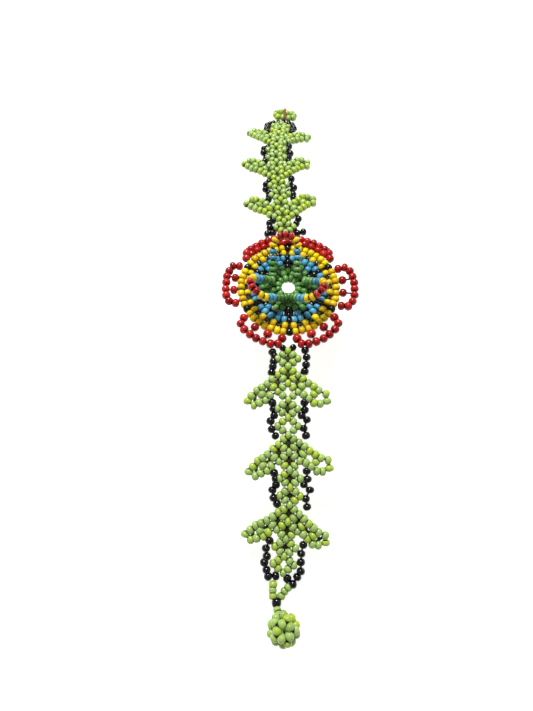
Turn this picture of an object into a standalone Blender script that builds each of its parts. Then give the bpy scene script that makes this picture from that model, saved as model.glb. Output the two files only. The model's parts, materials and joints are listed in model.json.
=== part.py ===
"""Netted seed-bead bracelet: a six-petal flower, two leafy bands, a ball and a loop to close it.

Each node is one panel or strand of beadwork, as a plate or tube as thick as a bead. Metres, +Z up.
The flower is the root. Each band is a chain of four spine panels hinged across the band. At rest
the bracelet stands on its two ends in a low arch, as it keeps the curve of a wrist.
"""

from math import atan2, cos, pi, radians, sin

import bpy
from mathutils import Matrix, Vector

# Driving dimensions
BEAD = 0.0019  # bead diameter, and so the thickness of every panel
PITCH = 0.00465  # one row of the net along a band
HALF_BAND = 0.0028  # band centre line to its side beads
GAP = 0.0003  # clearance between touching panels
TUBE = 0.00085  # radius of a single string of beads
FIRST_ROW = 0.0205  # flower centre to the first row of a band
HUB_HINGE = 0.0189  # flower centre to the hinge of a band
HINGE_ROWS = (5.5, 9.5, 12.8)  # rows where the spine panels are hinged
PANEL_CLEARANCE = 0.0006  # between the round ends of two spine panels
PANEL_MARGIN = 0.0003  # from the middle of the side beads' holes to a panel's edge
START_ROW = 1.13  # start of the first panel, in rows
LAST_ROW = 14.02  # end of the last panel, in rows
BAR_ROW = 14.3  # the black string across the end of a band, in rows
START_SHARE = 0.62  # width of a band where it starts, as a share of its full width
END_SHARE = 0.80  # the same where it ends
TAPER = 0.0016  # length over which a band reaches its full width

# Routes in half bands across and rows along. A leaf's and an edging's rows count from where the leaf starts
LEAF_ROWS = (2.45, 6.45, 10.45)  # where each pair of leaves starts
LEAF_HINGE = 1.22  # half bands from the centre line
LEAF = ((1.36, 0), (2.0, 0.15), (3.0, 0.65), (4.25, 1.42), (4.25, 1.68), (3.0, 2.38), (2.0, 1.88), (1.36, 1.28))
EDGING = ((1.66, 2.27), (1.76, 2.55), (1.96, 2.85), (1.82, 3.35), (1.64, 3.7))  # between two leaves
COLLAR = ((0, 0.80), (0.9, 0.87), (1.52, 1.08), (1.66, 1.5), (1.62, 2.1))  # the middle of the start, to a leaf
END_EDGING = ((0, BAR_ROW), (0.8, BAR_ROW), (1.42, 14.1), (1.62, 13.7), (1.68, 13.2), (1.64, 12.62))

# The curve of each band at rest: the bend down and the turn sideways at its four hinges, degrees
NEAR_BENDS = (12.5, 9, 5, 1.5)
NEAR_TURNS = (-0.5, 2, -7, -0.5)
FAR_BENDS = (2.5, 4.5, 8, 9)
FAR_TURNS = (5, -3, -8, -2)

# Flower
EYE = (0.0021, 0.0083)  # inner and outer radius of the green centre
PETAL = (0.0086, 0.0155)
LOBE = (0.0158, 0.0193)
LOBE_CORNERS = (15, 24)  # half angles of a red lobe where its full width ends and at its sides, degrees
SPOKE = (0.0091, 0.0160)  # start and end of a black spoke
SPOKE_MARGIN = TUBE + GAP + 0.0002  # centre line of a spoke to the petals beside it
CUP_START = 0.0080  # the petals rise beyond this radius
CUP_ANGLE = 9  # degrees
LOOP_BASE = 0.0034  # radius where an inner loop starts
LOOP_RISE = 42  # degrees above the flower
LOOP_LENGTH = 0.0112
LOOP_HALF_WIDTH = 0.0030
LOOP_OUTLINE = ((1, 0.03), (1.05, 0.35), (1.02, 0.7), (0.62, 0.94), (0, 1))  # shares of half width and length
PETAL_COUNT = 6
LOOP_ANGLES = {"upper": 90, "left": 210, "right": 330}

# Ends
BALL_RADIUS = 0.0044
CLASP_BEAD = (0.0012, 0.0004, 0.0017)  # outer radius, hole radius, length
END_HINGE = 0.0031  # last row to the hinge of the ball's strand
# Places past the last row, across and along: the black bead, the ball and the strand between band and bead
CLASP_PLACE = (0.00075, 0.0078)
BALL_PLACE = (-0.0016, 0.0134)
FORK = ((-0.0026, 0.0043), (-0.0019, 0.0052), (0.0003, 0.0058), (0.0019, 0.0052), (0.0025, 0.0044))
NECK_RADIUS = 0.0006
NECK_GAP = 0.00048  # how far the neck stops short of its hinge and of the ball
LOOP_HINGE = 0.0029  # last row to the hinge of the closing loop
LOOP_START = -0.00035  # that hinge to the near side of the brown tie
CLOSING_LOOP = (0.0036, 0.0019)  # half width and half length of the loop's centre line
THREAD = 0.0004  # radius of the brown tie
TIE_GAP = 0.00015  # between the tie and the beads it pinches
SQUARED = 1.45  # how far the tie's oval is stretched before its top and bottom are cut flat

ROOT = "flower"
COLLECTION = "beaded_flower_bracelet"


def clear_scene():
    for obj in list(bpy.data.objects):
        bpy.data.objects.remove(obj, do_unlink=True)


def make_collection():
    made = bpy.data.collections.new(COLLECTION)
    bpy.context.scene.collection.children.link(made)
    return made


def glass(name, colour, roughness=0.12):
    made = bpy.data.materials.new(name)
    made.use_nodes = True
    shader = made.node_tree.nodes["Principled BSDF"]
    shader.inputs["Base Color"].default_value = (*colour, 1)
    shader.inputs["Roughness"].default_value = roughness
    made.diffuse_color = (*colour, 1)
    return made


# Points


def row(t):
    """Distance of row t from the flower's centre, along a band."""
    return FIRST_ROW + (t - 1) * PITCH


def smooth(knots, count):
    """count points on a Catmull-Rom curve through the knots."""
    knots = [Vector(k) for k in knots]
    ends = [2 * knots[0] - knots[1], *knots, 2 * knots[-1] - knots[-2]]
    points = []
    for k in range(count):
        along = k / (count - 1) * (len(knots) - 1)
        i = min(int(along), len(knots) - 2)
        u = along - i
        a, b, c, d = ends[i : i + 4]
        points.append(
            0.5
            * (
                2 * b
                + (c - a) * u
                + (2 * a - 5 * b + 4 * c - d) * u**2
                + (3 * b - a - 3 * c + d) * u**3
            )
        )
    return points


def arc(radius, start, end, steps):
    """Points on a circle round the origin, between two angles in degrees."""
    angles = [radians(start + (end - start) * k / steps) for k in range(steps + 1)]
    return [(radius * cos(a), radius * sin(a)) for a in angles]


# Objects


def add_curve(name, dimensions, points, cyclic, material, parent):
    curve = bpy.data.curves.new(name, "CURVE")
    curve.dimensions = dimensions
    spline = curve.splines.new("POLY")
    spline.points.add(len(points) - 1)
    for point, place in zip(spline.points, points, strict=True):
        point.co = (*place, *([0] * (3 - len(place))), 1)
    spline.use_cyclic_u = cyclic
    curve.materials.append(material)
    obj = bpy.data.objects.new(name, curve)
    PARTS.objects.link(obj)
    obj.parent = parent
    return obj


def plate(name, outlines, material, parent, edge=0.0007):
    """A flat panel as thick as a bead with rounded edges. A second outline is a hole."""
    obj = add_curve(name, "2D", outlines[0], True, material, parent)
    curve = obj.data
    for hole in outlines[1:]:
        spline = curve.splines.new("POLY")
        spline.points.add(len(hole) - 1)
        for point, place in zip(spline.points, hole, strict=True):
            point.co = (*place, 0, 1)
        spline.use_cyclic_u = True
    curve.fill_mode = "BOTH"
    curve.extrude = BEAD / 2 - edge
    curve.bevel_depth = edge
    curve.bevel_resolution = 1
    curve.offset = -edge
    return obj


def string(name, points, material, parent, radius=TUBE, cyclic=False):
    """A string of beads as a tube."""
    obj = add_curve(name, "3D", points, cyclic, material, parent)
    obj.data.fill_mode = "FULL"
    obj.data.bevel_depth = radius
    obj.data.bevel_resolution = 2
    obj.data.use_fill_caps = not cyclic
    return obj


def add_empty(name, place, parent=None):
    """An empty at a pose given in its parent's frame. It is a body's joint, not a piece."""
    obj = bpy.data.objects.new(name, None)
    obj.empty_display_size = 0.004
    PARTS.objects.link(obj)
    obj.parent = parent
    obj.matrix_basis = place
    return obj


def bent(distance, bend=0, turn=0, side=0, lift=0):
    """A pose at a distance along Y, turned sideways about Z and then bent down about X."""
    return (
        Matrix.Translation((side, distance, lift))
        @ Matrix.Rotation(radians(turn), 4, "Z")
        @ Matrix.Rotation(radians(-bend), 4, "X")
    )


# Flower


def flower(root):
    """The green centre, and six petals each with a black spoke beside it and a red lobe outside."""
    plate("green_centre", [arc(EYE[1], 0, 345, 23), arc(EYE[0], 330, 0, 11)], GREEN, root)
    for k in range(PETAL_COUNT):
        middle = 360 / PETAL_COUNT * k
        cup = cupped_empty(f"petal_{k + 1}_cup", middle, root)
        plate(f"petal_{k + 1}", [sector(*PETAL, SPOKE_MARGIN)], YELLOW, cup)
        plate(f"red_lobe_{k + 1}", [lobe()], RED, cup)
        spoke(f"black_spoke_{k + 1}", middle + 180 / PETAL_COUNT, root)


def cupped_empty(name, middle, root):
    """A frame whose X runs out along the petal and rises beyond CUP_START."""
    pivot = Matrix.Translation((CUP_START, 0, 0))
    place = (
        Matrix.Rotation(radians(middle), 4, "Z")
        @ pivot
        @ Matrix.Rotation(radians(-CUP_ANGLE), 4, "Y")
        @ pivot.inverted()
    )
    return add_empty(name, place, root)


def sector(inner, outer, margin):
    """A ring sector of one petal, its sides parallel to the spokes and a margin away from them."""
    half = 180 / PETAL_COUNT

    def reach(radius):
        return half - margin / radius * 180 / pi

    return arc(outer, -reach(outer), reach(outer), 8) + arc(inner, reach(inner), -reach(inner), 6)


def lobe():
    """The red border of one petal: wide in the middle and drawn in beside the spokes."""
    inner, outer = LOBE
    full, side = LOBE_CORNERS
    right, left = arc((outer + inner) / 2, side, -side, 1)
    return [*arc(outer, -full, full, 4), right, *arc(inner, side, -side, 6), left]


def spoke(name, angle, root):
    """Three black beads in a line between two petals."""
    rise = sin(radians(CUP_ANGLE))
    points = []
    for radius in SPOKE:
        beside = radius * cos(pi / PETAL_COUNT)  # along the axis of the petals next to it
        points.append((radius, 0, max(0, beside - CUP_START) * rise))
    obj = string(name, points, BLACK, root)
    obj.rotation_euler.z = radians(angle)


def inner_loops(root):
    """Three upright loops round the eye of the flower, each hinged at its foot."""
    lift = BEAD / 2 + TUBE + GAP
    for name, angle in LOOP_ANGLES.items():
        foot = add_empty(
            f"joint_inner_loop_{name}",
            Matrix.Rotation(radians(angle - 90), 4, "Z") @ bent(LOOP_BASE, -LOOP_RISE, 0, 0, lift),
            root,
        )
        half = [(x * LOOP_HALF_WIDTH, y * LOOP_LENGTH, 0) for x, y in LOOP_OUTLINE]
        knots = [*half, *[(-x, y, z) for x, y, z in half[-2::-1]]]
        string(f"inner_loop_{name}", smooth(knots, 17), BLUE, foot, radius=BEAD / 2)


# Bands


def spine_panel(name, start, end, first, last, body, origin):
    """One panel of a band between two rows' distances. Its ends are straight at a hinge."""
    half = HALF_BAND + PANEL_MARGIN
    side = [(half * START_SHARE, start), (half, start + TAPER)] if first else [(half, start)]
    side += [(half, end - TAPER), (half * END_SHARE, end)] if last else [(half, end)]
    right = [(x, y - origin) for x, y in side]
    left = [(-x, y) for x, y in reversed(right)]
    plate(name, [right + left], LIME, body, edge=0.0009)


def leaf(name, side, start, origin, body):
    """A leaf-shaped panel with its hinge along the edge of the band."""
    hinge = Matrix.Translation((side * LEAF_HINGE * HALF_BAND, row(start) - origin, 0))
    frame = add_empty(f"joint_{name}", hinge, body)
    corners = [(side * (u - LEAF_HINGE) * HALF_BAND, t * PITCH) for u, t in LEAF]
    if side < 0:
        corners.reverse()
    plate(name, [corners], LIME, frame)


def band_points(route, origin, side=1, start=0):
    return [(side * u * HALF_BAND, row(start + t) - origin, 0) for u, t in route]


def both_sides(route, origin):
    """A route from the centre line, and its mirror image, as one line of points."""
    half = band_points(route, origin)
    return [*band_points(route[:0:-1], origin, -1), *half]


def band(name, bends, turns, root, away):
    """A band's four hinged panels with their leaves and black edging. It returns the last body."""
    hinges = (HUB_HINGE, *(row(t) for t in HINGE_ROWS))
    body, before = root, 0
    for k, hinge in enumerate(hinges):
        place = bent(hinge - before, bends[k], turns[k])
        body = add_empty(f"joint_{name}_spine_{k + 1}", (away @ place) if k == 0 else place, body)
        first, last = k == 0, k == len(hinges) - 1
        start = row(START_ROW) if first else hinge + PANEL_CLEARANCE / 2
        end = row(LAST_ROW) if last else hinges[k + 1] - PANEL_CLEARANCE / 2
        spine_panel(f"{name}_spine_{k + 1}", start, end, first, last, body, hinge)
        if first:
            string(f"{name}_collar", smooth(both_sides(COLLAR, hinge), 17), BLACK, body)
        if last:
            string(f"{name}_end_edging", smooth(both_sides(END_EDGING, hinge), 19), BLACK, body)
        else:
            for word, side in sides(away):
                leaf(f"{name}_leaf_{k + 1}_{word}", side, LEAF_ROWS[k], hinge, body)
                if k < len(LEAF_ROWS) - 1:
                    route = band_points(EDGING, hinge, side, LEAF_ROWS[k])
                    string(f"{name}_edging_{k + 1}_{word}", smooth(route, 9), BLACK, body)
        before = hinge
    return body


def sides(away):
    """Left and right as seen with the near band below the flower, as signs of a band's own X."""
    sign = 1 if away.col[0][0] > 0 else -1
    return (("left", -sign), ("right", sign))


# Ends


def ball_end(last_body):
    """The forked strand, black bead, neck and ball that hang from the near band, lying flat."""
    last_hinge = row(HINGE_ROWS[-1])
    pose = last_body.matrix_world @ bent(row(14) + END_HINGE - last_hinge)
    strand = lying_flat("joint_strand", pose, TUBE, last_body)
    hinge = Vector((0, END_HINGE, TUBE))
    fork = [Vector((x, y, TUBE)) - hinge for x, y in FORK]
    string("forked_strand", smooth(fork, 11), LIME, strand, radius=TUBE)
    clasp = Vector((*CLASP_PLACE, CLASP_BEAD[0])) - hinge
    bead = add_torus_bead("clasp_bead", BLACK, strand)
    bead.matrix_basis = Matrix.Translation(clasp) @ Matrix.Rotation(radians(90), 4, "X")
    front = clasp + Vector((0, CLASP_BEAD[2] / 2 + GAP, 0))
    joint = add_empty("joint_ball", Matrix.Translation(front), strand)
    centre = Vector((*BALL_PLACE, BALL_RADIUS)) - hinge - front
    ball("bead_ball", centre, joint)
    ahead = centre.normalized()
    reach = centre.length - BALL_RADIUS - NECK_GAP
    string("neck", [ahead * NECK_GAP, ahead * reach], LIME, joint, radius=NECK_RADIUS)


def lying_flat(name, pose, height, parent):
    """A body at a pose's place and heading, level with the ground and its origin at a height."""
    ahead = pose.to_3x3() @ Vector((0, 1, 0))
    heading = Matrix.Rotation(atan2(-ahead.x, ahead.y), 4, "Z")
    place = pose.translation.copy()
    place.z = height
    obj = add_empty(name, parent.matrix_world.inverted() @ Matrix.Translation(place) @ heading, parent)
    bpy.context.view_layer.update()
    return obj


def add_torus_bead(name, material, parent):
    outer, hole, length = CLASP_BEAD
    minor = (outer - hole) / 2
    bpy.ops.mesh.primitive_torus_add(
        major_segments=14, minor_segments=8, major_radius=outer - minor, minor_radius=minor
    )
    obj = bpy.context.active_object
    obj.name = obj.data.name = name
    obj.data.transform(Matrix.Scale(length / 2 / minor, 4, (0, 0, 1)))
    adopt(obj, material, parent)
    return obj


def ball(name, centre, parent):
    bpy.ops.mesh.primitive_uv_sphere_add(segments=16, ring_count=10, radius=BALL_RADIUS)
    obj = bpy.context.active_object
    obj.name = obj.data.name = name
    adopt(obj, LIME, parent)
    obj.location = centre


def adopt(obj, material, parent):
    """Moves a new primitive into the part's collection, under a parent, shaded smooth."""
    for owner in obj.users_collection:
        owner.objects.unlink(obj)
    PARTS.objects.link(obj)
    obj.data.materials.append(material)
    obj.data.shade_smooth()
    obj.parent = parent


def loop_end(last_body):
    """The closing loop of the far band, pinched by the brown thread tied round its middle."""
    last_hinge = row(HINGE_ROWS[-1])
    pose = last_body.matrix_world @ bent(row(14) + LOOP_HINGE - last_hinge)
    height = 2 * THREAD + TIE_GAP + BEAD / 2
    body = lying_flat("joint_closing_loop", pose, height, last_body)
    across, along = CLOSING_LOOP
    middle = LOOP_START + THREAD * 2 + TIE_GAP + BEAD / 2 + along
    ring = [(across * cos(a), middle + along * sin(a), 0) for a in angles(20)]
    string("closing_loop", ring, LIME, body, radius=BEAD / 2, cyclic=True)
    thread_y = along + BEAD / 2 + TIE_GAP + THREAD
    thread_z = BEAD / 2 + TIE_GAP + THREAD
    oval = [(thread_y * cos(a), thread_z * sin(a) * SQUARED) for a in angles(20)]
    tie = [(0, middle + y, max(-thread_z, min(thread_z, z))) for y, z in oval]
    string("tie_thread", tie, BROWN, body, radius=THREAD, cyclic=True)


def angles(count):
    return [2 * pi * k / count for k in range(count)]


# Standing on the ground


def level_tilt(near_end, far_end):
    """The angle that brings the end bars of the two bands to one height, turning about X."""
    bar = Vector((0, row(BAR_ROW) - row(HINGE_ROWS[-1]), 0))
    across = far_end.matrix_world @ bar - near_end.matrix_world @ bar
    return -atan2(across.z, across.y)


def lowest_point(names):
    graph = bpy.context.evaluated_depsgraph_get()
    lows = []
    for name in names:
        made = PARTS.objects[name].evaluated_get(graph)
        mesh = made.to_mesh()
        lows.append(min((made.matrix_world @ v.co).z for v in mesh.vertices))
        made.to_mesh_clear()
    return min(lows)


def centre_on_origin(root):
    """Moves the part so that its box is centred over the origin, with its lowest point at zero."""
    graph = bpy.context.evaluated_depsgraph_get()
    points = []
    for obj in PARTS.objects:
        if obj.type == "EMPTY":
            continue
        made = obj.evaluated_get(graph)
        mesh = made.to_mesh()
        points += [made.matrix_world @ v.co for v in mesh.vertices]
        made.to_mesh_clear()
    low = Vector(min(p[i] for p in points) for i in range(3))
    high = Vector(max(p[i] for p in points) for i in range(3))
    root.location -= Vector(((low.x + high.x) / 2, (low.y + high.y) / 2, low.z))


clear_scene()
PARTS = make_collection()
LIME = glass("lime_glass", (0.40, 0.60, 0.10))
GREEN = glass("green_glass", (0.09, 0.35, 0.05))
BLUE = glass("blue_glass", (0.07, 0.40, 0.68))
YELLOW = glass("yellow_glass", (0.95, 0.65, 0.01))
RED = glass("red_glass", (0.62, 0.012, 0.015))
BLACK = glass("black_glass", (0.008, 0.008, 0.010), 0.08)
BROWN = glass("brown_thread", (0.28, 0.09, 0.035), 0.7)

hub = add_empty(ROOT, Matrix.Identity(4))
flower(hub)
inner_loops(hub)
near_end = band("near", NEAR_BENDS, NEAR_TURNS, hub, Matrix.Rotation(pi, 4, "Z"))
far_end = band("far", FAR_BENDS, FAR_TURNS, hub, Matrix.Identity(4))
bpy.context.view_layer.update()
hub.rotation_euler.x = level_tilt(near_end, far_end)
bpy.context.view_layer.update()
hub.location.z = -lowest_point(("near_end_edging", "far_end_edging"))
bpy.context.view_layer.update()
ball_end(near_end)
loop_end(far_end)
bpy.context.view_layer.update()
centre_on_origin(hub)
bpy.context.view_layer.update()
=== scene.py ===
"""Netted seed-bead bracelet: every glass bead on its thread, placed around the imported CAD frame.

A band's net is laid out on a lattice: u counts half widths across the band, t counts rows along it.
The flower's rounds are laid out by radius and angle. Metres, in the row frame.
"""

import json
import math
import random

import bpy
import numpy as np
from mathutils import Matrix, Vector


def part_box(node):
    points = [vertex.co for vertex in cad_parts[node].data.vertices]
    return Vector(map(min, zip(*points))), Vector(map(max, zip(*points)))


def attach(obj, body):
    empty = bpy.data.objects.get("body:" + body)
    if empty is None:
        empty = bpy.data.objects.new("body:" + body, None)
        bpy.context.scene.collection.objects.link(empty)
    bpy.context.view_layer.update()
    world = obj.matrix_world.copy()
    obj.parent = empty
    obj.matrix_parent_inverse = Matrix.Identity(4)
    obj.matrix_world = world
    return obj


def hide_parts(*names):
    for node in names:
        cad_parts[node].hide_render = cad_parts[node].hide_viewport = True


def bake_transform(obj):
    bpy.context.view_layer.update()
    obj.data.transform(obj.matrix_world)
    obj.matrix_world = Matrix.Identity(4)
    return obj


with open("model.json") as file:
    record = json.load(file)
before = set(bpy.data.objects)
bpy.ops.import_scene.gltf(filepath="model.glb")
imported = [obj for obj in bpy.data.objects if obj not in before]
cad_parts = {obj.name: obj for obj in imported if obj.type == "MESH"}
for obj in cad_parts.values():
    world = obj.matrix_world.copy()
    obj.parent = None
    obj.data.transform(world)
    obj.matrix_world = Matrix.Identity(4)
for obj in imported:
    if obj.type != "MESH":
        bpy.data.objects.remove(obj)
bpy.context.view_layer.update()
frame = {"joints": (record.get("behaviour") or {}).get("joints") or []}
JOINTS = {joint["name"]: joint for joint in frame["joints"]}
RANDOM = random.Random(11)

# Sizes
BEAD_WIDTH = 0.00234
BEAD_LENGTH = 0.00188
BEAD_HOLE = 0.00062
FLOWER_BEAD = (0.00238, 0.00204)
LOOP_BEAD = (0.00236, 0.00172)  # on the upright loops
BIG_BEAD = (0.00250, 0.00255)  # the clasp bead's width and length
THREAD = 0.00056  # its width where it shows between beads
PITCH = 0.00465  # one row of the net
HALF_BAND = 0.0028  # centre line to side beads
FIRST_ROW = 0.0205  # flower centre to row 1
HUB_HINGE = 0.0189  # flower centre to a band's first hinge
HINGE_ROWS = (5.5, 9.5, 12.8)  # the rows where a band's further hinges lie
LAST_ROW = 15  # where a band's centre line ends

# How unevenly the beads are strung
TILT_SCATTER = 0.055  # as a slope
WIDTH_SCATTER = 0.022  # as a share
LENGTH_SCATTER = 0.05
PLACE_SCATTER = 0.00005
ROUND_SCATTER = 0.00008  # the height of the flower's beads


# Materials


def noise(nodes, links, scale, detail=2.0):
    """A noise texture in object coordinates, and its factor output."""
    place = nodes.new("ShaderNodeTexCoord")
    made = nodes.new("ShaderNodeTexNoise")
    made.inputs["Scale"].default_value = scale
    made.inputs["Detail"].default_value = detail
    links.new(place.outputs["Object"], made.inputs["Vector"])
    return made.outputs["Fac"]


PAINTED_SHADE_RAMP = ((0.15, 1.0), (0.90, 0.12))  # painted shade: the glass is darkened towards a bead's bore, where it meets its neighbours, and by the contact shadows: place and brightness
FIRST_STOP = 0.12  # where the ramp of tones begins
MOTTLE_STRENGTH = 0.24
MOTTLE_SCALE = 900
GLOSS_SCALE = 1600
BUMP_SCALE = 1400
GLASS_IOR = 1.52


def glass_bead(name, colours, roughness=0.22, shine=0.4):
    """Glossy opaque glass. Each bead's own tone picks a colour along the ramp, and fine noise mottles it.
    The shade attribute darkens it with painted shade.
    """
    made = bpy.data.materials.new(name)
    made.use_nodes = True
    nodes, links = made.node_tree.nodes, made.node_tree.links
    shader = nodes["Principled BSDF"]
    tone = nodes.new("ShaderNodeAttribute")
    tone.attribute_name = "tone"
    mottle = nodes.new("ShaderNodeMath")
    mottle.operation = "MULTIPLY_ADD"
    links.new(noise(nodes, links, MOTTLE_SCALE), mottle.inputs[0])
    mottle.inputs[1].default_value = MOTTLE_STRENGTH
    links.new(tone.outputs["Fac"], mottle.inputs[2])
    ramp = nodes.new("ShaderNodeValToRGB")
    stops = ramp.color_ramp.elements
    stops.remove(stops[1])
    stops[0].position, stops[0].color = FIRST_STOP, (*colours[0], 1)
    for k, colour in enumerate(colours[1:], 1):
        stops.new(FIRST_STOP + (1 - FIRST_STOP) * k / (len(colours) - 1)).color = (*colour, 1)
    links.new(mottle.outputs[0], ramp.inputs["Fac"])
    shade = nodes.new("ShaderNodeAttribute")
    shade.attribute_name = "shade"
    # painted shade: the shade attribute darkens the colour through this ramp
    depth = nodes.new("ShaderNodeValToRGB")
    depth.color_ramp.interpolation = "EASE"
    for stop, (place, dark) in zip(depth.color_ramp.elements, PAINTED_SHADE_RAMP):
        stop.position = place
        stop.color = (dark, dark, dark, 1)
    links.new(shade.outputs["Fac"], depth.inputs["Fac"])
    painted_shade_mix = nodes.new("ShaderNodeMix")
    painted_shade_mix.data_type, painted_shade_mix.blend_type = "RGBA", "MULTIPLY"
    painted_shade_mix.inputs["Factor"].default_value = 1
    links.new(ramp.outputs["Color"], painted_shade_mix.inputs["A"])
    links.new(depth.outputs["Color"], painted_shade_mix.inputs["B"])
    links.new(painted_shade_mix.outputs["Result"], shader.inputs["Base Color"])
    rough = nodes.new("ShaderNodeMapRange")
    rough.inputs["To Min"].default_value = roughness * 0.6
    rough.inputs["To Max"].default_value = roughness * 1.5
    links.new(noise(nodes, links, GLOSS_SCALE), rough.inputs["Value"])
    links.new(rough.outputs["Result"], shader.inputs["Roughness"])
    bump = nodes.new("ShaderNodeBump")
    bump.inputs["Strength"].default_value = 0.22
    bump.inputs["Distance"].default_value = 0.00012
    links.new(noise(nodes, links, BUMP_SCALE, 3), bump.inputs["Height"])
    links.new(bump.outputs["Normal"], shader.inputs["Normal"])
    shader.inputs["IOR"].default_value = GLASS_IOR
    shader.inputs["Specular IOR Level"].default_value = shine
    return made


def thread_material(name, colour, roughness, twist):
    """Thread with a fine twist along it, or smooth nylon where twist is 0."""
    made = bpy.data.materials.new(name)
    made.use_nodes = True
    nodes, links = made.node_tree.nodes, made.node_tree.links
    shader = nodes["Principled BSDF"]
    ramp = nodes.new("ShaderNodeValToRGB")
    ramp.color_ramp.elements[0].color = (*(0.55 * c for c in colour), 1)
    ramp.color_ramp.elements[1].color = (*colour, 1)
    links.new(noise(nodes, links, 2600), ramp.inputs["Fac"])
    links.new(ramp.outputs["Color"], shader.inputs["Base Color"])
    shader.inputs["Roughness"].default_value = roughness
    if twist:
        shader.inputs["Sheen Weight"].default_value = 0.3
        bump = nodes.new("ShaderNodeBump")
        bump.inputs["Distance"].default_value = 0.0001
        links.new(noise(nodes, links, 5200), bump.inputs["Height"])
        links.new(bump.outputs["Normal"], shader.inputs["Normal"])
    return made


# The tones of each colour of glass, from darkest to lightest; the lime beads run from apple green to yellow
LIME_TONES = ((0.33, 0.49, 0.11), (0.41, 0.60, 0.17), (0.41, 0.60, 0.14), (0.46, 0.62, 0.06))
GREEN_TONES = ((0.07, 0.21, 0.035), (0.11, 0.32, 0.06), (0.18, 0.42, 0.11))
BLUE_TONES = ((0.04, 0.24, 0.42), (0.07, 0.34, 0.54), (0.12, 0.43, 0.66))
YELLOW_TONES = ((0.78, 0.48, 0.0), (0.90, 0.62, 0.0), (0.96, 0.72, 0.0))
RED_TONES = ((0.30, 0.004, 0.004), (0.45, 0.008, 0.006), (0.58, 0.02, 0.016))
BLACK_TONES = ((0.001, 0.001, 0.001), (0.003, 0.003, 0.003), (0.005, 0.005, 0.005))

LIME = glass_bead("lime_beads", LIME_TONES)
GREEN = glass_bead("green_beads", GREEN_TONES)
BLUE = glass_bead("blue_beads", BLUE_TONES)
YELLOW = glass_bead("yellow_beads", YELLOW_TONES)
RED = glass_bead("red_beads", RED_TONES, 0.2)
BLACK = glass_bead("black_beads", BLACK_TONES, 0.08, 0.5)
# nylon thread, also drawn as the dark bundles that paint shade into the net's openings
NYLON = thread_material("nylon_thread", (0.045, 0.032, 0.012), 0.6, False)
BROWN = thread_material("brown_thread", (0.34, 0.10, 0.035), 0.75, True)


# Bead meshes


def bead_template(width, length, hole=BEAD_HOLE, around=20, outside=11, square=2.35):
    """Corners, faces and shade of one bead about the origin, its hole along Z.

    It is an oval with a straight bore. A larger square makes its shoulders fuller. The shade, painted shade
    that darkens the glass where neighbouring beads meet, runs from 0 round the middle to 1 at the bore.
    """
    rim = math.acos((hole / width) ** (square / 2))
    section = []
    for k in range(outside):
        a = rim * (2 * k / (outside - 1) - 1)
        x, z = math.cos(a), math.sin(a)
        height = math.copysign(abs(z) ** (2 / square), z)
        section.append((width / 2 * x ** (2 / square), length / 2 * height))
    section.append((hole / 2, 0))
    ring = len(section)
    corners = [
        (r * math.cos(2 * math.pi * j / around), r * math.sin(2 * math.pi * j / around), z)
        for j in range(around)
        for r, z in section
    ]
    shade = [1 - (r - hole / 2) / (width / 2 - hole / 2) for r, _ in section] * around
    faces = []
    for j in range(around):
        here, there = j * ring, (j + 1) % around * ring
        for k in range(ring):
            on = (k + 1) % ring
            faces.append((here + k, there + k, there + on, here + on))
    return np.array(corners), np.array(faces), shade


SEED_BEAD = bead_template(BEAD_WIDTH, BEAD_LENGTH)
ROUND_BEAD = bead_template(*FLOWER_BEAD)
ARCH_BEAD = bead_template(*LOOP_BEAD, square=2.1)
CLASP_BEAD = bead_template(*BIG_BEAD)


BEADS = []  # the centre of every bead placed
SHADED = []  # every mesh built, with its piece
BEAD_RADIUS = 0.0011
SHADOW_REACH = 0.0005  # glass this close to a neighbouring bead begins to get painted shadow
SHADOW_DEPTH = 0.85


def contact_shadows():
    """Paints shadow into the glass where a bead nearly touches its neighbours."""
    centres = np.array(BEADS)
    for mesh, piece in SHADED:
        corners, owners = np.concatenate(piece.corners), np.array(piece.owners)
        shades = np.array(piece.shades, dtype=float)
        for own in set(piece.owners) - {-1}:
            apart = np.linalg.norm(centres - centres[own], axis=1)
            others = centres[(apart > 0) & (apart < 3 * BEAD_RADIUS)]
            if len(others):
                mine = owners == own
                reach = np.linalg.norm(corners[mine][:, None] - others[None], axis=2).min(axis=1)
                near = np.clip(1 - (reach - BEAD_RADIUS) / SHADOW_REACH, 0, 1)
                shades[mine] = np.maximum(shades[mine], SHADOW_DEPTH * near)
        mesh.attributes.new("shade", "FLOAT", "POINT").data.foreach_set("value", shades.tolist())


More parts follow.
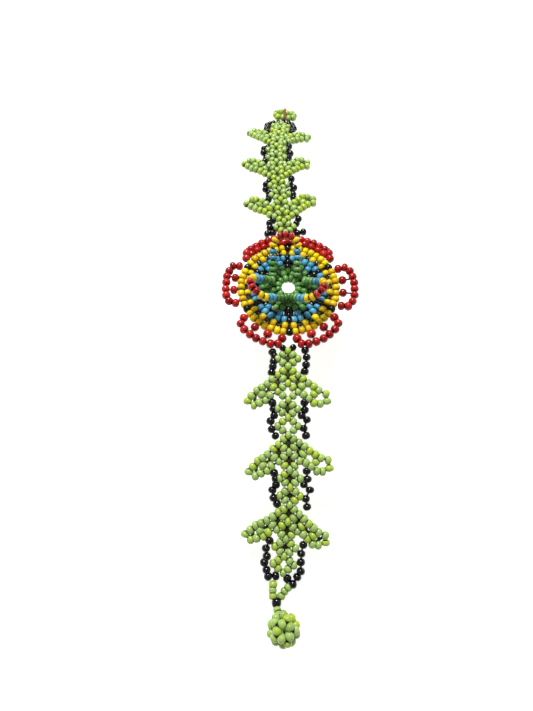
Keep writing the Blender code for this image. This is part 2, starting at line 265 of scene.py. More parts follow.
class Piece:
    """Beads and the thread between them, gathered into one mesh."""

    def __init__(self, name, material):
        self.name, self.material = name, material
        self.corners, self.faces = [], []
        self.tones, self.shades, self.owners = [], [], []  # of each corner
        self.marks = []  # of each face: 0 has the piece's own material, 1 is nylon
        self.count = 0

    def add(self, corners, faces, tone, shade, mark=0, owner=-1):
        """Adds corners and faces. The owner is the number of the bead they belong to, or -1 for thread."""
        self.corners.append(corners)
        self.faces += [tuple(int(i) + self.count for i in face) for face in faces]
        self.tones += [tone] * len(corners)
        self.shades += shade
        self.owners += [owner] * len(corners)
        self.marks += [mark] * len(faces)
        self.count += len(corners)

    def bead(self, place, axis, scale=1.0, template=SEED_BEAD, jitter=1.0, depth=1.0):
        """One bead with its hole along axis, nudged and turned a little, as hand-strung beads are."""
        axis = Vector(axis).normalized()
        tilt = Vector([RANDOM.gauss(0, TILT_SCATTER * jitter) for _ in range(3)])
        turn = (axis + tilt).normalized().to_track_quat("Z", "Y").to_matrix()
        turn = np.array(turn @ Matrix.Rotation(RANDOM.uniform(0, 6.28), 3, "Z"))
        width = scale * (1 + RANDOM.gauss(0, WIDTH_SCATTER))
        length = scale * (1 + RANDOM.gauss(0, LENGTH_SCATTER))
        nudge = np.array([RANDOM.gauss(0, PLACE_SCATTER * jitter) for _ in range(3)])
        centre = np.array(place) + nudge
        corners = (template[0] * (width, width, length)) @ turn.T + centre
        BEADS.append(centre)
        # depth scales the painted shade towards the bore
        shades = [depth * shade for shade in template[2]]
        self.add(corners, template[1], RANDOM.random(), shades, 0, len(BEADS) - 1)

    def thread(self, a, b, radius=THREAD / 2, sides=5, mark=1):
        """A straight stretch of thread from a to b."""
        self.tube([a, b], radius, sides, mark)

    def tube(self, points, radius, sides=5, mark=1, closed=False):
        """A tube along points, with flat ends unless it is closed into a ring."""
        points = [Vector(p) for p in points]
        count = len(points)
        if not closed and (points[-1] - points[0]).length < 1e-7:
            return
        rings = []
        for i, p in enumerate(points):
            before = points[i - 1] if i or closed else p
            after = points[(i + 1) % count] if i < count - 1 or closed else p
            turn = (after - before).normalized().to_track_quat("Z", "Y").to_matrix()
            for j in range(sides):
                a = 2 * math.pi * j / sides
                rings.append(p + turn @ Vector((radius * math.cos(a), radius * math.sin(a), 0)))
        faces = []
        for i in range(count if closed else count - 1):
            here, there = i * sides, (i + 1) % count * sides
            for j in range(sides):
                on = (j + 1) % sides
                faces.append((here + j, here + on, there + on, there + j))
        if not closed:
            faces.append(tuple(reversed(range(sides))))
            faces.append(tuple((count - 1) * sides + j for j in range(sides)))
        self.add(np.array(rings), faces, 0.5, [0] * len(rings), mark)

    def build(self, body=None, node=None, slot=None):
        """Makes the mesh object. It rides on body and stands for the CAD node, if they are given."""
        mesh = bpy.data.meshes.new(self.name)
        mesh.from_pydata(np.concatenate(self.corners).tolist(), [], self.faces)
        mesh.materials.append(self.material)
        mesh.materials.append(NYLON)
        mesh.polygons.foreach_set("material_index", self.marks)
        mesh.attributes.new("tone", "FLOAT", "POINT").data.foreach_set("value", self.tones)
        SHADED.append((mesh, self))
        mesh.shade_smooth()
        obj = bpy.data.objects.new(self.name, mesh)
        bpy.context.scene.collection.objects.link(obj)
        if node:
            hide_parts(node)
        if body:
            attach(obj, body)
        return obj


# The bands' centre lines


def row(t):
    """The distance of row t from the flower's centre, along the band."""
    return FIRST_ROW + (t - 1) * PITCH


def joint_place(name):
    return Vector(JOINTS[name]["pos_m"])


def middle(node):
    """The middle of a CAD node's box."""
    low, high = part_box(node)
    return (low + high) / 2


class Band:
    """A smooth centre line through a band's four hinges, with a frame at every row."""

    def __init__(self, name, hub):
        self.name = name
        self.away = -1 if name == "near" else 1
        self.hinges = [joint_place(f"{name}_bend_{k}") for k in range(1, 5)]
        last = (middle(f"{name}_spine_4") - self.hinges[3]).normalized()
        end = self.hinges[3] + last * (row(LAST_ROW) - row(HINGE_ROWS[2]))
        self.knots = [*self.hinges, end]
        self.reach = [HUB_HINGE, *(row(t) for t in HINGE_ROWS), row(LAST_ROW)]
        across = [Vector(JOINTS[f"{name}_bend_{k}"]["axis"]) for k in range(1, 5)]
        self.across = [-a for a in across] + [-across[3]]
        runs = [(b - a).normalized() for a, b in zip(self.knots, self.knots[1:])]
        start = (runs[0] + hub.y_axis * self.away).normalized()
        self.tangents = [start]
        self.tangents += [(a + b).normalized() for a, b in zip(runs, runs[1:])] + [runs[-1]]

    def at(self, t):
        """Centre, across, along and up at row t."""
        s = row(t)
        k = 0
        while k < 3 and s > self.reach[k + 1]:
            k += 1
        span = self.reach[k + 1] - self.reach[k]
        v = (s - self.reach[k]) / span
        a, b = self.knots[k], self.knots[k + 1]
        m, n = self.tangents[k] * span, self.tangents[k + 1] * span
        centre = (
            a * (2 * v**3 - 3 * v**2 + 1)
            + m * (v**3 - 2 * v**2 + v)
            + b * (3 * v**2 - 2 * v**3)
            + n * (v**3 - v**2)
        )
        if v < 0:
            centre, along = a + self.tangents[k] * (s - self.reach[k]), self.tangents[k]
        else:
            along = (
                a * (6 * v**2 - 6 * v)
                + m * (3 * v**2 - 4 * v + 1)
                + b * (6 * v - 6 * v**2)
                + n * (3 * v**2 - 2 * v)
            ).normalized()
        w = min(max(v, 0), 1)
        across = self.across[k].lerp(self.across[k + 1], w)
        across = (across - along * across.dot(along)).normalized()
        return centre, across, along, across.cross(along)

    def point(self, u, t, lift=0.0):
        """The world place of lattice place u, t, raised by lift."""
        centre, across, _, up = self.at(t)
        return centre + across * (u * HALF_BAND) + up * lift

    def direction(self, u, t, du, dt):
        """The world direction of a small step on the lattice."""
        _, across, along, _ = self.at(t)
        return (across * (du * HALF_BAND) + along * (dt * PITCH)).normalized()

    def body(self, t):
        """The hinged stretch that row t belongs to."""
        return f"{self.name}_band_{1 + sum(t >= h - 0.001 for h in HINGE_ROWS)}"


SIDE_SHIFT = 0.0005  # the flower sits a little to the right of the bands
HEART_SHIFT = 0.0005  # its middle is drawn towards the far band
NEAR_STRETCH = 0.06  # and the petals on the near side are longer
HEART_RADIUS = 0.014  # how far out the middle's pull is felt
CUP_START, CUP_RUN, CUP_RISE = 0.007, 0.012, 0.0013  # beyond a radius, the petals rise over a run


class Hub:
    """The flower's frame."""

    def __init__(self):
        self.centre = middle("green_centre")
        x = Vector(JOINTS["inner_loop_upper_tilt"]["axis"]).normalized()
        side = Vector(JOINTS["inner_loop_left_tilt"]["axis"]).normalized()
        self.z_axis = x.cross(side).normalized()
        self.x_axis = x
        self.y_axis = self.z_axis.cross(x)

    def point(self, radius, angle, lift=0.0):
        """The world place at a radius and angle, raised by lift."""
        a = math.radians(angle)
        flat = self.x_axis * math.cos(a) + self.y_axis * math.sin(a)
        pull = HEART_SHIFT * max(0.0, 1 - radius / HEART_RADIUS)
        pull += NEAR_STRETCH * radius * min(0.0, math.sin(a))
        place = self.centre + self.x_axis * SIDE_SHIFT + self.y_axis * pull
        return place + flat * radius + self.z_axis * (lift + cup(radius))

    def round(self, angle):
        """The direction of increasing angle."""
        a = math.radians(angle)
        return self.y_axis * math.cos(a) - self.x_axis * math.sin(a)

    def outward(self, angle):
        """The direction away from the centre."""
        a = math.radians(angle)
        return self.x_axis * math.cos(a) + self.y_axis * math.sin(a)


def cup(radius):
    """How far the petals rise at a radius."""
    return CUP_RISE * max(0.0, (radius - CUP_START) / CUP_RUN) ** 1.5


HUB = Hub()
NEAR = Band("near", HUB)
FAR = Band("far", HUB)


# Bands

VERTEX = (1, 0)  # the hole of a shared bead runs across the band
ROW_RIPPLE = 0.00012
ROLL = 0.00008


def net_beads(band):
    """(u, t, hole direction) of every bead of the band's spine net."""
    beads = [(0, n, VERTEX) for n in range(1, 15)]
    for n in range(1, 14):
        for side in (-1, 1):
            beads.append((side, n + 0.5, VERTEX))
            beads.append((side * 0.5, n + 0.25, (side, 0.5)))
            beads.append((side * 0.5, n + 0.75, (side, -0.5)))
    return beads


def net_threads():
    """Pairs of neighbouring lattice places that the thread joins."""
    pairs = []
    for n in range(1, 14):
        for side in (-1, 1):
            pairs.append(((0, n), (side, n + 0.5)))
            pairs.append(((side, n + 0.5), (0, n + 1)))
    return pairs


def ripple(u, t):
    """The net isn't quite flat: shared beads sit a little higher, and the band rolls slightly."""
    share = 1 if abs(u) < 0.1 else 0.4
    return ROW_RIPPLE * math.cos(2 * math.pi * t) * share + ROLL * math.sin(3.1 * t + u)


def crossing(name, pairs, start, end):
    """Thread that crosses a joint, built as one mesh of its own."""
    piece = Piece(name, NYLON)
    for first, second in pairs:
        piece.thread(first, second, mark=0)
    obj = piece.build(slot="black_glass")
    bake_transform(obj)


OPEN_DIAMONDS = {"near": (3, 5, 13), "far": ()}  # the rest have dark thread bundles across them, painted shade in the openings
SHADE_FILL_SIDES = (3, 7, 11)  # rows where a leaf leaves the band, with such painted-shade thread beside the net
SHADE_FILL_THREAD = 0.00042  # radius of those dark threads, thick enough to fill an opening with painted shade
SHADE_FILL_LIFT = -0.0003  # they pass under the beads
HINGE_NEAR = 0.35  # a bundle this close to a hinge, in rows, crosses it


def shade_fill_bundles(band, u, t, width=0.42, depth=0.24):
    """Ends of four bundles of dark thread across an opening of the net, painted shade where the opening is
    in shadow.

    Two slant, reaching width across and depth along from its middle. The straight two reach further.
    """
    for du, dt in ((width, depth), (-width, depth), (0, 1.5 * depth), (1.3 * width, 0)):
        yield band.point(u - du, t - dt, SHADE_FILL_LIFT), band.point(u + du, t + dt, SHADE_FILL_LIFT)


def spine(band):
    """The lime net of a band, one piece for each hinged stretch, and the thread across the hinges."""
    pieces = {f"{band.name}_band_{k}": Piece(f"{band.name}_net_{k}", LIME) for k in range(1, 5)}
    for u, t, (du, dt) in net_beads(band):
        place = band.point(u, t, ripple(u, t))
        pieces[band.body(t)].bead(place, band.direction(u, t, du, dt))
    over = {k: [] for k in (2, 3, 4)}
    # dark thread bundles across the closed openings stand in for shade: painted shade
    for n in range(1, 14):
        if n in OPEN_DIAMONDS[band.name]:
            continue
        for ends in shade_fill_bundles(band, 0, n + 0.5):
            hinge = [k for k in over if abs(n + 0.5 - HINGE_ROWS[k - 2]) < HINGE_NEAR]
            if hinge:
                over[hinge[0]].append(ends)
            else:
                pieces[band.body(n + 0.5)].thread(*ends, SHADE_FILL_THREAD)
    for n in SHADE_FILL_SIDES:
        for side in (-1, 1):
            for ends in shade_fill_bundles(band, side, n, 0.22, 0.2):
                pieces[band.body(n)].thread(*ends, SHADE_FILL_THREAD)
    for (u, t), (v, s) in net_threads():
        mid = ((u + v) / 2, (t + s) / 2)
        for (a, b), (c, d) in (((u, t), mid), (mid, (v, s))):
            first, second = band.point(a, b, ripple(a, b)), band.point(c, d, ripple(c, d))
            one, two = band.body(b), band.body(d)
            if one == two:
                pieces[one].thread(first, second)
            else:
                over[max(int(one[-1]), int(two[-1]))].append((first, second))
    for k in range(1, 5):
        body = f"{band.name}_band_{k}"
        pieces[body].build(body, f"{band.name}_spine_{k}", "lime_glass")
    for k, t in enumerate(HINGE_ROWS, 2):
        crossing(
            f"{band.name}_hinge_thread_{k}",
            over[k],
            band.point(0, t - 0.2),
            band.point(0, t - 0.02),
        )


# The first leaf's beads on each side: u outwards, t, and the hole's direction
LEAF = {
    "left": (
        (1.52, 2.77, (1, 0.5)),
        (2.03, 3.06, (1, 0.3)),
        (2.54, 3.24, (1, 0.5)),
        (3.06, 3.43, (1, 0.3)),
        (3.55, 3.74, (1, 0.5)),
        (3.95, 4.06, (0.2, 1)),
        (3.34, 4.32, (1, 0)),
        (2.80, 4.19, (1, 0.4)),
        (2.20, 4.01, (1, 0.3)),
        (2.58, 3.68, (1, -0.5)),
        (1.74, 3.72, (1, 0.5)),
        (1.45, 3.25, (1, -0.5)),
    ),
    "right": (
        (1.51, 2.72, (1, 0.5)),
        (2.02, 2.98, (1, 0.3)),
        (2.50, 3.18, (1, 0.5)),
        (3.06, 3.42, (1, 0.3)),
        (3.74, 3.58, (1, 0.2)),
        (3.84, 4.02, (0.2, 1)),
        (3.16, 4.18, (1, 0)),
        (2.58, 4.15, (1, 0.3)),
        (2.04, 3.88, (1, 0.4)),
        (2.54, 3.64, (1, -0.5)),
        (1.56, 3.64, (1, 0.5)),
        (1.36, 3.16, (1, -0.5)),
    ),
}
LEAF_EVERY = 4  # rows from one leaf to the next
LEAF_SCALE = 1.05
LEAF_DROOP = 0.00012  # how fast a leaf falls away beyond LEAF_FLAT half widths
LEAF_FLAT = 1.5
# Pairs of a leaf's beads that thread joins, in the order of LEAF
LEAF_THREADS = tuple((k, k + 1) for k in range(9)) + ((9, 3), (8, 10), (1, 11))
LEAF_SHADE_FILLS = ((1, 10), (2, 8), (9, 11), (4, 7), (3, 6))  # dark thread between these beads, painted shade in the leaf's openings
OPEN_LEAVES = (("near", 1, "right"), ("near", 2, "right"))  # these have none
LEAF_TO_BAND = ((0, (1, 2.5)), (11, (1, 3.5)), (10, (1, 3.5)))  # a bead, and its place on the band


def leaf(band, number, word, side):
    """A leaf of twelve beads, and the thread that ties it to the band across its hinge."""
    shift = LEAF_EVERY * (number - 1)
    body = f"{band.name}_leaf_{number}_{word}"
    piece = Piece(f"{body}_beads", LIME)
    places = []
    for u, t, (du, dt) in LEAF[word]:
        droop = -LEAF_DROOP * max(0.0, u - LEAF_FLAT) ** 2
        place = band.point(side * u, t + shift, droop)
        places.append(place)
        piece.bead(place, band.direction(side * u, t + shift, side * du, dt), LEAF_SCALE)
    for a, b in LEAF_THREADS:
        piece.thread(places[a], places[b])
    # dark thread across the leaf's openings: painted shade
    if (band.name, number, word) not in OPEN_LEAVES:
        for a, b in LEAF_SHADE_FILLS:
            piece.thread(places[a], places[b], SHADE_FILL_THREAD)
    piece.build(body, body, "lime_glass")
    pairs = [(band.point(side * u, t + shift), places[i]) for i, (u, t) in LEAF_TO_BAND]
    crossing(
        f"{body}_tie",
        pairs,
        band.point(side * 1.02, 3.2 + shift),
        band.point(side * 1.32, 3.2 + shift),
    )


def chain(piece, places, scale=1.0, template=SEED_BEAD):
    """Beads strung one after another, each with its hole along the string."""
    for i, place in enumerate(places):
        before = places[max(i - 1, 0)]
        after = places[min(i + 1, len(places) - 1)]
        piece.bead(place, after - before, scale, template)
    for a, b in zip(places, places[1:]):
        piece.thread(a, b)


def sides(band):
    """Left and right on the band as a sign of u, seen with the near band below the flower."""
    sign = 1 if band.name == "far" else -1
    return (("left", -sign), ("right", sign))


# The black strings' beads, as u outwards and t. The strings between leaves repeat every LEAF_EVERY rows.
EDGING = {
    "left": ((1.52, 4.15), (1.40, 4.52), (1.34, 4.90), (1.70, 5.20), (1.60, 5.66), (1.20, 6.04)),
    "right": ((1.62, 4.12), (1.66, 4.55), (1.36, 4.88), (1.88, 5.16), (1.50, 5.64), (1.72, 6.08)),
}
EDGING_PULL = {"near": 0.0, "far": 0.1}  # how much nearer those lie, in half widths
COLLAR = {
    ("near", "left"): ((1.56, 1.05), (1.34, 1.32), (1.42, 1.66), (1.50, 1.98), (1.62, 2.36)),
    ("near", "right"): ((1.72, 0.95), (1.86, 1.38), (1.80, 1.83), (1.66, 2.25)),
    ("far", "left"): ((2.07, 1.06), (1.42, 1.08), (1.22, 1.46), (1.66, 1.62), (1.66, 1.98), (1.22, 2.32)),
    ("far", "right"): ((2.03, 1.08), (1.38, 1.02), (1.05, 1.42), (1.34, 1.84), (1.72, 2.20)),
}
END = {
    ("near", "left"): (
        *((1.57, 12.2), (1.8, 12.65), (1.65, 13.1), (1.87, 13.5)),
        *((1.6, 13.9), (1.4, 14.3), (0.65, 14.22)),
    ),
    ("near", "right"): (
        *((1.7, 12.25), (1.6, 12.8), (1.67, 13.3), (1.7, 13.8)),
        *((1.4, 14.2), (1.0, 14.62), (0.48, 14.33)),
    ),
    ("far", "left"): (
        *((1.6, 12.2), (1.8, 12.65), (1.68, 13.1), (1.84, 13.55)),
        *((1.5, 13.95), (1.1, 14.22), (0.42, 14.24)),
    ),
    ("far", "right"): (
        *((1.7, 12.25), (1.65, 12.7), (1.82, 13.15), (1.7, 13.6)),
        *((1.5, 14.0), (1.0, 14.26), (0.3, 14.28)),
    ),
}
BLACK_SCALE = 0.98
COLLAR_BEAD = (0.48, 0.78)  # the collar's last bead on each side, beside the band's first bead
COLLAR_LIFT = -0.0004


STRING_DROP = 0.0002  # the strings lie a little lower than the net
TUCK_DROP = 0.0006  # and lower still where they pass under it
TUCK_FROM, TUCK_RUN = 1.45, 0.25  # half widths


def tuck(u):
    """How high a string lies: it passes under the net where it comes close to it."""
    return -STRING_DROP - TUCK_DROP * min(1.0, max(0.0, (TUCK_FROM - u) / TUCK_RUN))


def black_chain(piece, places):
    """A string of black beads."""
    chain(piece, places, BLACK_SCALE, ROUND_BEAD)


def on_ground(place):
    """The string round a band's end rests on the ground."""
    return Vector((place.x, place.y, max(place.z, BEAD_WIDTH / 2)))


def edging(band):
    """The black strings along the band: a collar at the flower, one between leaves, one round the end."""
    collar = Piece(f"{band.name}_collar_beads", BLACK)
    end = Piece(f"{band.name}_end_edging_beads", BLACK)
    for word, side in sides(band):
        black_chain(collar, [band.point(side * u, t, tuck(u)) for u, t in COLLAR[band.name, word]])
        u, t = COLLAR_BEAD
        last = band.point(side * u, t, COLLAR_LIFT)
        collar.bead(last, band.direction(0, 0.76, side, 0.6))
        collar.thread(last, band.point(0, 1))
        black_chain(end, [on_ground(band.point(side * u, t)) for u, t in END[band.name, word]])
        for number in (1, 2):
            shift = LEAF_EVERY * (number - 1)
            piece = Piece(f"{band.name}_edging_{number}_{word}_beads", BLACK)
            route = [(u - EDGING_PULL[band.name], t + shift) for u, t in EDGING[word]]
            black_chain(piece, [band.point(side * u, t, tuck(u)) for u, t in route])
            obj = piece.build(None, f"{band.name}_edging_{number}_{word}", "black_glass")
            hinge = HINGE_ROWS[number - 1]
            band.point(0, hinge - 0.6)
            band.point(0, hinge + 0.6)
            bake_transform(obj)
    collar.build(f"{band.name}_band_1", f"{band.name}_collar", "black_glass")
    obj = end.build(None, f"{band.name}_end_edging", "black_glass")
    band.point(0, 12.3)
    band.point(0, 13.3)
    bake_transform(obj)


def make_band(band):
    """A band's net, its strings and its three pairs of leaves."""
    spine(band)
    edging(band)
    for number in (1, 2, 3):
        for word, side in sides(band):
            leaf(band, number, word, side)


# Flower

PETAL_ANGLES = tuple(60 * k for k in range(6))
# One petal's rounds: radius, and the beads' angles from its middle
GREEN_ROUNDS = ((0.0049, (-15, 15)), (0.0058, (0, 30)), (0.0068, (-15, 15)), (0.0076, (0,)))
BLUE_ROUNDS = ((0.0088, (-13, 13)), (0.0104, (-22.6, -11.3, 0, 11.3, 22.6)))
YELLOW_ROUNDS = ((0.0123, (-24, -8, 8, 24)), (0.0141, (-23.1, -15.4, -7.7, 0, 7.7, 15.4, 23.1)))
CENTRE_RADIUS = 0.0031
SPOKE_RADII = (0.0073, 0.0090, 0.0106, 0.0141)
CONNECTOR_RADIUS = 0.0161
OPEN_CONNECTORS = (-7.5, 7.5)  # the red beads' angles inside a lobe
CLOSED_CONNECTORS = {2: (-16, -8, 0, 8, 16, 23), 3: (-23, -16, -8, 0, 8, 16)}  # the two far lobes are full
CONNECTOR_THREAD = (0.0141, 0.0187)  # radii
LOBE_PITCH = 0.00205
LOBE_FOOT = 0.0163  # radius where a red arc starts
LOBE_SQUARE = 3.4  # an arc is a fuller curve than a circle, whose value is 2
LOBE_RISES = (0.0031, 0.0013, 0.0013, 0.0023, 0.0025, 0.0025)  # how far each lobe's middle lies beyond that
LOBE_HALVES = (22.5, 24, 24, 22.5, 22.5, 22.5)  # degrees
LOBE_TURNS = (0.5, 3, -3, -4, 0, 0)  # degrees that each lobe sits round from the middle of its petal
LOBE_SCALE, CONNECTOR_SCALE = 1.08, 1.1
ZIGZAGS = {"blue": ((0.0038, 0.0090), 14), "yellow": ((0.0086, 0.0145), 30)}  # radii and steps; the steps are dense so the thread also fills the gaps with painted shade
ZIGZAG_HALF = 31  # degrees to each side of a petal's middle
ZIGZAG_LIFT = -0.0007
ZIGZAG_THREAD = 0.00032  # radius, thick so the thread is partly painted shade in the gaps between rounds
SPOKE_THREAD = (0.0054, 0.0143)  # radii


def lobe_arc(rise, half):
    """Evenly spaced places of a lobe's beads, as radius and angle."""
    dense = []
    for k in range(201):
        a = math.pi * k / 200
        x, y = math.cos(a), math.sin(a)
        share = math.copysign(abs(x) ** (2 / LOBE_SQUARE), x)
        dense.append((LOBE_FOOT + rise * y ** (2 / LOBE_SQUARE), half * share))
    flat = [Vector((r * math.cos(math.radians(a)), r * math.sin(math.radians(a)))) for r, a in dense]
    run = [0.0]
    for a, b in zip(flat, flat[1:]):
        run.append(run[-1] + (b - a).length)
    places = []
    gaps = round(run[-1] / LOBE_PITCH)
    for k in range(gaps + 1):
        want = run[-1] * k / gaps
        places.append(dense[min(range(len(dense)), key=lambda i: abs(run[i] - want))])
    return places


def flower():
    """The rounds of the flower: green centre, then in each petal blue, yellow and red, with black spokes."""
    centre = Piece("green_centre_beads", GREEN)
    for k in range(12):
        angle = 30 * k + 15
        centre.bead(HUB.point(CENTRE_RADIUS, angle), HUB.round(angle))
        centre.thread(HUB.point(CENTRE_RADIUS, angle), HUB.point(CENTRE_RADIUS, angle + 30))
    for number, main in enumerate(PETAL_ANGLES, 1):
        for radius, spread in GREEN_ROUNDS:
            place_round(centre, radius, main, spread)
        hearts = Piece(f"petal_{number}_blue_beads", BLUE)
        for radius, spread in BLUE_ROUNDS:
            place_round(hearts, radius, main, spread)
        zigzag(hearts, main, *ZIGZAGS["blue"])
        hearts.build("flower", None, "blue_glass")
        border = Piece(f"petal_{number}_yellow_beads", YELLOW)
        for radius, spread in YELLOW_ROUNDS:
            place_round(border, radius, main, spread)
        zigzag(border, main, *ZIGZAGS["yellow"])
        border.build("flower", f"petal_{number}", "yellow_glass")
        lobe(number, main)
        spoke = Piece(f"black_spoke_{number}_beads", BLACK)
        angle = main + 30
        for radius in SPOKE_RADII:
            spoke.bead(HUB.point(radius, angle), HUB.round(angle), template=ROUND_BEAD)
        spoke.thread(*(HUB.point(radius, angle) for radius in SPOKE_THREAD))
        spoke.build("flower", f"black_spoke_{number}", "black_glass")
    centre.build("flower", "green_centre", "green_glass")


def place_round(piece, radius, main, spread):
    """One round of a petal's beads, with the thread between them."""
    places = [HUB.point(radius, main + a, RANDOM.gauss(0, ROUND_SCATTER)) for a in spread]
    for place, a in zip(places, spread):
        piece.bead(place, HUB.round(main + a), template=ROUND_BEAD)
    for a, b in zip(places, places[1:]):
        piece.thread(a, b)


def zigzag(piece, main, rounds, steps):
    """Thread back and forth between two rounds of a petal, under the beads. It is real thread, made thick
    and dense to darken the gaps as painted shade.
    """
    inner, outer = rounds
    for k in range(steps):
        a, b = (main - ZIGZAG_HALF + 2 * ZIGZAG_HALF * (k + i) / steps for i in (0, 1))
        first, second = (inner, outer) if k % 2 else (outer, inner)
        ends = HUB.point(first, a, ZIGZAG_LIFT), HUB.point(second, b, ZIGZAG_LIFT)
        piece.thread(*ends, ZIGZAG_THREAD)


def lobe(number, main):
    """Red connectors and the outer arc of beads round one petal."""
    piece = Piece(f"red_lobe_{number}_beads", RED)
    main += LOBE_TURNS[number - 1]
    for a in CLOSED_CONNECTORS.get(number, OPEN_CONNECTORS):
        place = HUB.point(CONNECTOR_RADIUS, main + a)
        piece.bead(place, HUB.outward(main + a), CONNECTOR_SCALE, ROUND_BEAD)
        piece.thread(*(HUB.point(radius, main + a) for radius in CONNECTOR_THREAD))
    arc = lobe_arc(LOBE_RISES[number - 1], LOBE_HALVES[number - 1])
    chain(piece, [HUB.point(r, main + a) for r, a in arc], LOBE_SCALE, ROUND_BEAD)
    piece.build("flower", f"red_lobe_{number}", "red_glass")


LOOP_COLOURS = "GGGBBYYRRRYYBBGGG"
LOOP_RISE = 42  # degrees above the flower
LOOP_TURNS = {"upper": 0, "left": 0, "right": -10}  # degrees
LOOP_SHIFTS = {"upper": -0.0005, "left": 0.0003, "right": 0.0001}  # of the feet, to the right
LOOP_LIFT = 0.0003
LOOP_LENGTHS = {"upper": 0.0114, "left": 0.0114, "right": 0.0106}
LOOP_HALF = 0.0036  # half of an upright loop's width


def inner_loops():
    """Three upright loops of green, blue, yellow and red beads."""
    materials = {"G": GREEN, "B": BLUE, "Y": YELLOW, "R": RED}
    slots = {"G": "green_glass", "B": "blue_glass", "Y": "yellow_glass", "R": "red_glass"}
    for name, angle in (("upper", 90), ("left", 210), ("right", 330)):
        joint = JOINTS[f"inner_loop_{name}_tilt"]
        turn = Matrix.Rotation(math.radians(LOOP_TURNS[name]), 3, HUB.z_axis)
        foot = Vector(joint["pos_m"]) + HUB.x_axis * LOOP_SHIFTS[name] + HUB.z_axis * LOOP_LIFT
        across = turn @ Vector(joint["axis"])
        rise = math.radians(LOOP_RISE)
        ahead = turn @ HUB.outward(angle) * math.cos(rise) + HUB.z_axis * math.sin(rise)
        pieces = {c: Piece(f"inner_loop_{name}_{c}", m) for c, m in materials.items()}
        count = len(LOOP_COLOURS)
        places = []
        for k in range(count):
            places.append(foot + loop_point(k / (count - 1), across, ahead, LOOP_LENGTHS[name]))
        for k, colour in enumerate(LOOP_COLOURS):
            before, after = places[max(k - 1, 0)], places[min(k + 1, count - 1)]
            pieces[colour].bead(places[k], after - before, template=ARCH_BEAD)
        for a, b in zip(places, places[1:]):
            pieces["B"].thread(a, b)
        for c, piece in pieces.items():
            node = f"inner_loop_{name}" if c == "B" else None
            piece.build(f"inner_loop_{name}", node, slots[c])


def loop_point(share, across, ahead, length):
    """A point along a narrow arch: straight arms and a round top."""
    arm = length - LOOP_HALF
    total = 2 * arm + math.pi * LOOP_HALF
    along = share * total
    if along < arm:
        return across * LOOP_HALF + ahead * along
    if along > total - arm:
        return across * -LOOP_HALF + ahead * (total - along)
    a = (along - arm) / LOOP_HALF
    return across * (LOOP_HALF * math.cos(a)) + ahead * (arm + LOOP_HALF * math.sin(a))


# Ends

# Beads past the last row, in millimetres across and along. The neck's also have a height above the ground.
FORK = (((2.10, 3.42), (2.10, 4.83), (1.85, 6.22)), ((-1.95, 3.72), (-1.10, 4.80), (-0.35, 6.00)))
NECK = ((0.45, 9.4, 1.9), (0.0, 10.35, 3.2), (-1.15, 9.9, 2.7))
FORK_HEIGHT = 1.08  # millimetres above the ground
NECK_SCALE = 0.94
END_HINGE = 0.0031  # last row to the hinge of the ball's strand
BALL_SHELL = 0.00325  # ball centre to the middle of each bead
BALL_SCALE = 1.03
BALL_THREAD = 0.00011  # radius


def ball_end():
    """Forked strand, black clasp bead, neck and the ball of thirty beads."""
    swing = JOINTS["strand_swing"]
    across = -Vector(swing["axis"]).normalized()
    ahead = Vector((0, 0, 1)).cross(across)
    last = joint_place("strand_swing") - ahead * END_HINGE

    def at(x, y, z):
        """A place past the last row, in millimetres, with z above the ground."""
        place = last + (across * x + ahead * y) * 0.001
        return Vector((place.x, place.y, z * 0.001))

    clasp, centre = middle("clasp_bead"), middle("bead_ball")
    strand = Piece("forked_strand_beads", LIME)
    for side in FORK:
        places = [at(x, y, FORK_HEIGHT) for x, y in side]
        chain(strand, places)
        strand.thread(places[-1], clasp)
    strand.build("strand", "forked_strand", "lime_glass")
    bead = Piece("clasp_bead_glass", BLACK)
    bead.bead(clasp, ahead, 1.0, CLASP_BEAD, jitter=0)
    bead.build("strand", "clasp_bead", "black_glass")
    towards = (centre - clasp).normalized()
    neck = Piece("neck_beads", LIME)
    for place in NECK:
        neck.bead(at(*place), towards, NECK_SCALE)
    neck.thread(clasp, centre)
    neck.build("ball", "neck", "lime_glass")
    ball(centre, towards)


def ball(centre, towards):
    """A cage of thirty beads, one on each edge of a dodecahedron, its holes along the edges."""
    piece = Piece("bead_ball_beads", LIME)
    golden = (1 + math.sqrt(5)) / 2
    corners = [Vector((x, y, z)) for x in (-1, 1) for y in (-1, 1) for z in (-1, 1)]
    for a in (-1, 1):
        for b in (-1, 1):
            corners.append(Vector((0, a / golden, b * golden)))
            corners.append(Vector((a / golden, b * golden, 0)))
            corners.append(Vector((a * golden, 0, b / golden)))
    edge = 2 / golden
    turn = towards.to_track_quat("X", "Z").to_matrix()
    reach = BALL_SHELL / golden
    for i, a in enumerate(corners):
        for b in corners[i + 1 :]:
            if (a - b).length < edge * 1.05:
                place = centre + turn @ ((a + b) / 2 * reach)
                # these beads get less painted shade at their bores
                piece.bead(place, turn @ (b - a), BALL_SCALE, ROUND_BEAD, depth=0.45)
                piece.thread(centre + turn @ (a * reach), centre + turn @ (b * reach), BALL_THREAD)
    piece.build("ball", "bead_ball", "lime_glass")


CLOSING_HALF = (0.0036, 0.0017)  # half width and half depth of the closing loop
CLOSING_PINCH = 0.0006  # how much its tie draws its middle in
PINCH_WIDTH = 0.0012
CLOSING_BEADS = 10
CLOSING_SCALE = 1.04
CLOSING_SHIFT = (0.0003, -0.0011, -0.0004)  # the beads against the plain loop of the CAD
TIE_WRAPS = (-0.0003, 0.0, 0.0003)  # each turn of the tie, across
TIE_SLANT = 0.0003
TIE_DEPTH, TIE_HEIGHT = 0.0028, 0.00132  # half depth and half height of a turn
TIE_THREAD = 0.00018  # radius


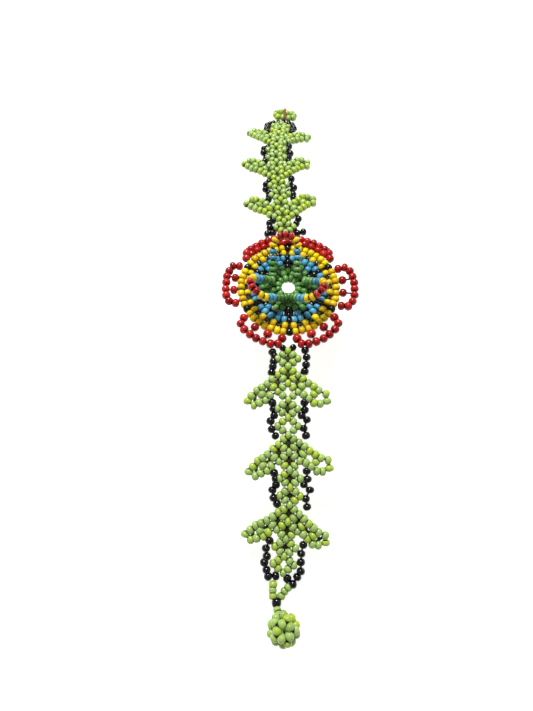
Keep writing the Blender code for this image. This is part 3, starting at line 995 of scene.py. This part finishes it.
def loop_end():
    """The closing loop, pinched into two lobes by a brown thread."""
    centre = middle("closing_loop") + Vector(CLOSING_SHIFT)
    across = -Vector(JOINTS["closing_loop_swing"]["axis"]).normalized()
    ahead = Vector((0, 0, 1)).cross(across)
    loop = Piece("closing_loop_beads", LIME)
    half_width, half_depth = CLOSING_HALF
    ring = []
    for k in range(CLOSING_BEADS):
        a = 2 * math.pi * (k + 0.25) / CLOSING_BEADS
        x = half_width * math.cos(a)
        y = (half_depth - CLOSING_PINCH * math.exp(-((x / PINCH_WIDTH) ** 2))) * math.sin(a)
        ring.append(centre + across * x + ahead * y)
    for k, place in enumerate(ring):
        after = ring[(k + 1) % CLOSING_BEADS]
        # these beads get less painted shade at their bores
        loop.bead(place, after - ring[k - 1], CLOSING_SCALE, ROUND_BEAD, depth=0.5)
        loop.thread(place, after)
    loop.build("closing_loop", "closing_loop", "lime_glass")
    tie = Piece("tie_thread_wraps", BROWN)
    for shift in TIE_WRAPS:
        wrap = []
        for k in range(24):
            a = 2 * math.pi * k / 24
            y, z = math.cos(a), math.sin(a)
            wrap.append(
                centre
                + across * (shift - TIE_SLANT * y)
                + ahead * TIE_DEPTH * math.copysign(abs(y) ** 0.7, y)
                + Vector((0, 0, TIE_HEIGHT * math.copysign(abs(z) ** 0.7, z)))
            )
        tie.tube(wrap, TIE_THREAD, 6, 0, closed=True)
    tie.build("closing_loop", "tie_thread", "brown_thread")


# Studio

FLOOR_SIZE = 6
PAPER_SHADES = (0.55, 0.57)
PAPER_GLOW = 0.85  # the ground glows a little, so it stays white under the soft light
SKY = 0.15
LAMPS = (  # name, place, size and watts
    ("key", (-0.07, 0.30, 0.44), 0.13, 3.2),
    ("fill", (-0.45, -0.30, 0.6), 0.8, 0.5),
    ("side", (0.55, 0.10, 0.5), 0.7, 0.5),
)
LAMPS_TARGET = (0, 0, 0.01)
SENSOR_HEIGHT = 24  # millimetres
LENS = 17.3165
CAMERA_PLACE = (-0.0060, -0.0737, 0.1347)  # from the flower's centre
CAMERA_TILT = 21.25  # degrees from straight down, towards the far band


def studio():
    """A white ground, soft lamps and a pale world."""
    bpy.ops.mesh.primitive_plane_add(size=FLOOR_SIZE)
    floor = bpy.context.active_object
    floor.name = "floor"
    paper = bpy.data.materials.new("paper")
    paper.use_nodes = True
    nodes, links = paper.node_tree.nodes, paper.node_tree.links
    shader = nodes["Principled BSDF"]
    shade = nodes.new("ShaderNodeMapRange")
    shade.inputs["To Min"].default_value, shade.inputs["To Max"].default_value = PAPER_SHADES
    links.new(noise(nodes, links, 4), shade.inputs["Value"])
    links.new(shade.outputs["Result"], shader.inputs["Base Color"])
    shader.inputs["Roughness"].default_value = 0.9
    shader.inputs["Emission Color"].default_value = (1, 1, 1, 1)
    shader.inputs["Emission Strength"].default_value = PAPER_GLOW
    floor.data.materials.append(paper)
    for each in LAMPS:
        lamp(*each)
    world = bpy.data.worlds.new("soft_white")
    world.use_nodes = True
    background = world.node_tree.nodes["Background"]
    background.inputs["Color"].default_value = (1, 1, 1, 1)
    background.inputs["Strength"].default_value = SKY
    bpy.context.scene.world = world
    bpy.context.scene.view_settings.view_transform = "Standard"


def lamp(name, place, size, power):
    """A round soft lamp that faces the bracelet."""
    data = bpy.data.lights.new(name, "AREA")
    data.shape, data.size, data.energy = "DISK", size, power
    obj = bpy.data.objects.new(name, data)
    bpy.context.scene.collection.objects.link(obj)
    obj.location = place
    obj.rotation_mode = "QUATERNION"
    obj.rotation_quaternion = (Vector(LAMPS_TARGET) - Vector(place)).to_track_quat("-Z", "Y")


def camera():
    """Looks down on the flower from above the near band."""
    data = bpy.data.cameras.new("camera")
    data.sensor_fit = "VERTICAL"
    data.sensor_height = SENSOR_HEIGHT
    data.lens = LENS
    data.clip_start = 0.005
    obj = bpy.data.objects.new("camera", data)
    bpy.context.scene.collection.objects.link(obj)
    obj.location = HUB.centre + Vector(CAMERA_PLACE)
    obj.rotation_mode = "XYZ"
    obj.rotation_euler = (math.radians(CAMERA_TILT), 0, 0)
    bpy.context.scene.camera = obj


make_band(NEAR)
make_band(FAR)
flower()
inner_loops()
ball_end()
loop_end()
contact_shadows()
studio()
camera()
